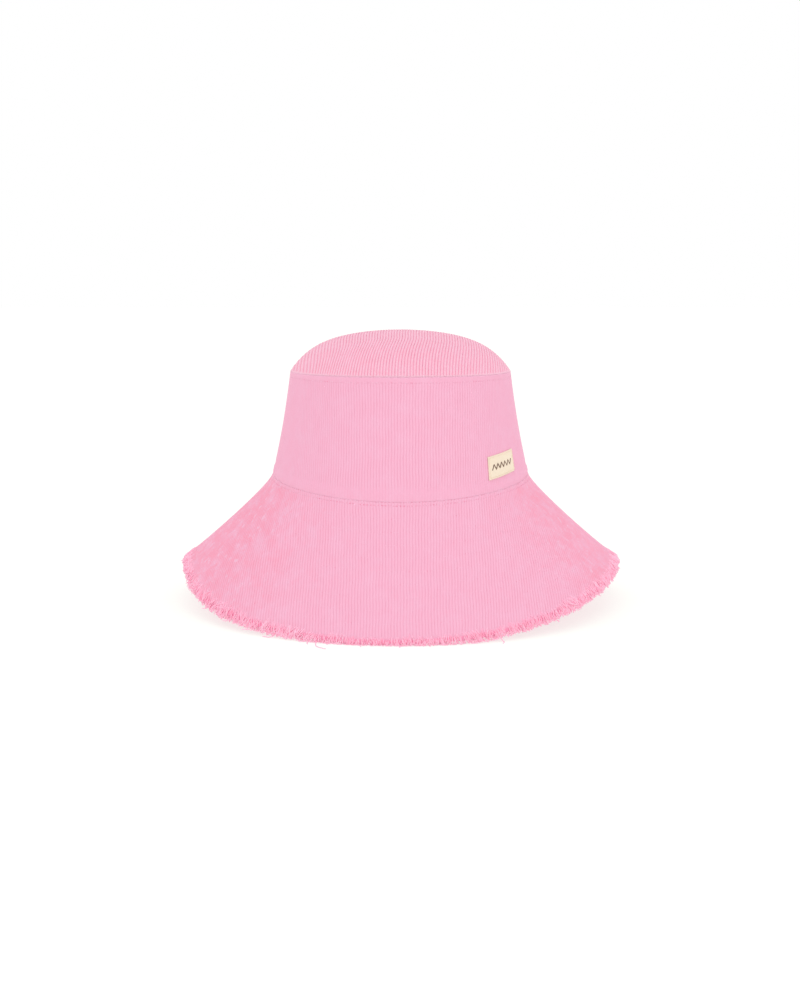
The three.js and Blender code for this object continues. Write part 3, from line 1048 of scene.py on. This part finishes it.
def make_strays():
    """Loose threads that have worked out of the fringe: a few long ones and many short ones."""
    draw = np.random.default_rng(5)
    places = np.concatenate([LONG_PLACES, draw.uniform(0, 2 * math.pi, SHORT_STRAYS)])
    lengths = np.concatenate([LONG_LENGTHS, draw.uniform(3.0, 6.0, SHORT_STRAYS) * MM])
    lengths *= 1 - 0.7 * bump(degrees_off_front(places), 82, 20)
    turns = np.concatenate([LONG_TURNS, draw.normal(0, 0.8, SHORT_STRAYS)])
    start = np.full(len(places), 3 - 1.6 * MM / BRIM_LENGTH)
    root, out, _ = yarn_roots(start, places, UNDER_FACE / 4)
    level = unit(out * np.array([1, 1, 0]))
    around = np.stack([-level[:, 1], level[:, 0], 0 * places], axis=-1)

    def direction(share):
        angle = turns * share * 1.1
        settled = blend(0.0, 0.5, share)
        ahead = out * (1 - settled) + level * settled
        turned = ahead * np.cos(angle)[:, None] + around * np.sin(angle)[:, None]
        return turned + draw.normal(0, 0.12, turned.shape)

    steps = yarn_steps(direction, lengths, 14)
    radius = np.where(lengths > 6 * MM, 0.34, 0.27) * MM
    shades = draw.uniform(0.5, 0.9, len(places))
    piece = yarn_mesh("stray_threads", root, steps, radius, shades, sides=6)
    finish_piece(piece, yarn, "corduroy")


# ---- labels ----

label_low, label_high = joined_box("side_label")
label_middle = (label_low + label_high) / 2
LABEL_ANGLE = math.radians(0.9) + math.atan2(
    label_middle[0] / BRIM_RING.half_width, -label_middle[1] / BRIM_RING.half_length
)
LABEL_WIDTH = 29.5 * MM
LABEL_HEIGHT = 13.3 * MM
LABEL_TILT = math.radians(2.6)
LABEL_SKEW = 0.15  # it is sewn on a little out of square
LABEL_V = 2 - (label_middle[2] - BRIM_RING.side_height - 1.3 * MM) / (
    TIP_RING.side_height - BRIM_RING.side_height
)


def on_band(x, y, lift):
    """Carries label coordinates, x round the hat and y up it, onto the band, lifted off it."""
    skewed_x = x + LABEL_SKEW * y
    turned_x = skewed_x * math.cos(LABEL_TILT) - y * math.sin(LABEL_TILT)
    turned_y = skewed_x * math.sin(LABEL_TILT) + y * math.cos(LABEL_TILT)
    here = smooth_surface(LABEL_V, LABEL_ANGLE)
    per_radian = np.linalg.norm(smooth_surface(LABEL_V, LABEL_ANGLE + 0.01) - here) / 0.01
    return hat_point(LABEL_V - turned_y / BAND_LENGTH, LABEL_ANGLE + turned_x / per_radian, -lift, BAND)


def grid_shell(name, size, place, grid, crown=0.0, puff=0.0, flip=False):
    """A closed thin patch of (across, up, thickness), carried by place(x, y, lift)."""
    across, up, thickness = size
    x_places, y_places = (np.linspace(-side / 2, side / 2, count) for side, count in zip(size, grid))
    x, y = np.meshgrid(x_places, y_places, indexing="ij")
    edge = np.minimum(across / 2 - np.abs(x), up / 2 - np.abs(y))
    rounding = turned_in(edge, min(0.25 * MM, thickness / 2))
    quilting = puff * blend(0, 2.5 * MM, edge) + crown * np.sin(x / (3.1 * MM)) * np.cos(y / (2.7 * MM))
    face = place(x, y, thickness - rounding + quilting)
    back = place(x, y, 0 * x)
    return cloth_shell(name, face, back, {}, flip, coarse=(4, 4))


def make_side_label():
    def place(x, y, lift):
        return on_band(x, y, lift + 0.05 * MM)

    label = grid_shell(
        "side_label_patch",
        (LABEL_WIDTH, LABEL_HEIGHT, 0.55 * MM),
        place,
        (53, 29),
        crown=0.05 * MM,
        puff=0.25 * MM,
    )
    finish_piece(label, cream_weave, "side_label", "side_label")
    make_label_motif(0.92 * MM)
    make_label_stitches(0.86 * MM)


def bars_on_label(name, starts, ends, lift, overlap, half_width, half_height):
    """Bars laid on the label. starts and ends are rows of (x, y), overlap lengthens each bar."""
    first, last = on_band(*starts.T, lift), on_band(*ends.T, lift)
    middles = (starts + ends) / 2
    normal = unit(on_band(*middles.T, lift + 1 * MM) - on_band(*middles.T, lift))
    across = np.cross(normal, unit(last - first))
    frames = ((first + last) / 2, (last - first) * overlap, across * half_width, normal * half_height)
    return copies_of(capsule_template(), frames, name, 1.0)


def make_label_motif(lift):
    """A plain woven ornament in place of any mark: a zigzag."""
    count = 12
    span = 0.74 * LABEL_WIDTH
    x = np.linspace(-span / 2, span / 2, count) - 0.8 * MM
    y = 1.5 * MM * np.where(np.arange(count) % 2, 1, -1)
    turns = np.stack([x, y], axis=-1)
    piece = bars_on_label("side_label_motif", turns[:-1], turns[1:], lift, 1.08, 0.42 * MM, 0.16 * MM)
    finish_piece(piece, brown_weave, "side_label")


def make_label_stitches(lift):
    """Short stitches round the label, just inside its edge."""
    inset = 0.9 * MM
    corner = np.array([LABEL_WIDTH / 2 - inset, LABEL_HEIGHT / 2 - inset])
    corners = [corner * signs for signs in ((-1, -1), (1, -1), (1, 1), (-1, 1))]
    starts, ends = [], []
    for here, following in zip(corners, corners[1:] + corners[:1]):
        side = following - here
        count = round(np.linalg.norm(side) / (2.0 * MM))
        starts += [here + side * (i + 0.12) / count for i in range(count)]
        ends += [here + side * (i + 0.88) / count for i in range(count)]
    starts, ends = np.array(starts), np.array(ends)
    piece = bars_on_label("side_label_stitches", starts, ends, lift, 1.0, 0.13 * MM, 0.13 * MM)
    finish_piece(piece, cream_thread, "thread", "side_label_stitching")


def make_care_label():
    """A satin tab that hangs inside the back, sewn along its upper edge."""
    low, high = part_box("care_label")
    width, thickness, height = high - low
    middle = (low + high) / 2

    def place(x, y, lift):
        hang = (height / 2 - y) / height
        wave = 0.5 * MM * np.sin(1.3 * x / (5 * MM) + 0.5) * hang**1.5
        bow = 0.9 * MM * np.sin(math.pi * hang * 0.9) * hang
        back = middle[1] + 0.5 * thickness - lift - wave - bow
        return np.stack([middle[0] - x, back, middle[2] + y], axis=-1)

    piece = grid_shell("care_label_tab", (width, height, thickness), place, (23, 31), flip=True)
    finish_piece(piece, white_satin, "care_label", "care_label", body="care_label")


# ---- stage, lights and camera ----

CAMERA_SIDE = -0.3 * MM
CAMERA_DISTANCE = 0.900
CAMERA_HEIGHT = 0.2185
CAMERA_DOWN = math.radians(9.71)
CAMERA_LENS = 49.8
FLOOR_HALF = 6.0


def make_camera():
    data = bpy.data.cameras.new("camera")
    data.lens = CAMERA_LENS
    data.sensor_width = 36
    camera = add_object("camera", data)
    camera.location = (CAMERA_SIDE, -CAMERA_DISTANCE, CAMERA_HEIGHT)
    camera.rotation_euler = (math.pi / 2 - CAMERA_DOWN, 0, 0)
    bpy.context.scene.camera = camera


def paper_material():
    """Matt white paper that glows a little, so that it stays white in the picture."""
    material, tree, shader = new_material("floor_paper")
    looks = {
        "Base Color": mixed(tree, noise(tree, 30, 2), (0.36, 0.40, 0.37), (0.38, 0.42, 0.39)),
        "Roughness": 0.95,
        "Specular IOR Level": 0.0,
        "Emission Color": (0.985, 0.985, 0.96, 1),
        "Emission Strength": 0.67,
    }
    set_inputs(shader, looks)
    return material


def make_stage():
    """A wide floor of paper, which meets the equally pale surroundings far away."""
    corners = np.array([(-1, -1, 0), (1, -1, 0), (1, 1, 0), (-1, 1, 0)])
    floor = mesh_object("floor", corners * FLOOR_HALF, [[0, 1, 2, 3]], smooth=False)
    floor.data.materials.append(paper_material())


def add_area_light(name, place, power):
    """A round lamp that looks at the middle of the hat."""
    data = bpy.data.lights.new(name, "AREA")
    data.shape = "DISK"
    data.size = 1.5
    data.energy = power
    light = add_object(name, data)
    light.location = place
    towards = unit(np.array((0, 0, HEIGHT / 2)) - np.array(place))
    light.rotation_euler = (math.acos(-towards[2]), 0, math.atan2(towards[1], towards[0]) - math.pi / 2)


def make_lights():
    world = bpy.data.worlds.new("studio")
    world.use_nodes = True
    set_inputs(world.node_tree.nodes["Background"], {"Color": (1, 1, 1, 1), "Strength": 1.0})
    bpy.context.scene.world = world
    add_area_light("left_front", (-1.0, -1.6, 0.75), 1.5)
    add_area_light("right_front", (1.1, -1.6, 0.75), 2.3)
    add_area_light("overhead", (0.0, -0.5, 1.8), 2.0)
    bpy.context.scene.view_settings.view_transform = "Standard"


make_camera()
make_stage()
make_lights()
make_tip()
make_band()
make_brim()
make_linings()
make_tip_lining()
make_sweatband()
make_stitching()
make_fringe("fringe_upper", 4200, 0.1 * MM, FRINGE + 1.2 * MM, 71)
make_fringe("fringe_lower", 3400, 2.0 * MM, FRINGE - 1.0 * MM, 72)
make_strays()
make_side_label()
make_care_label()
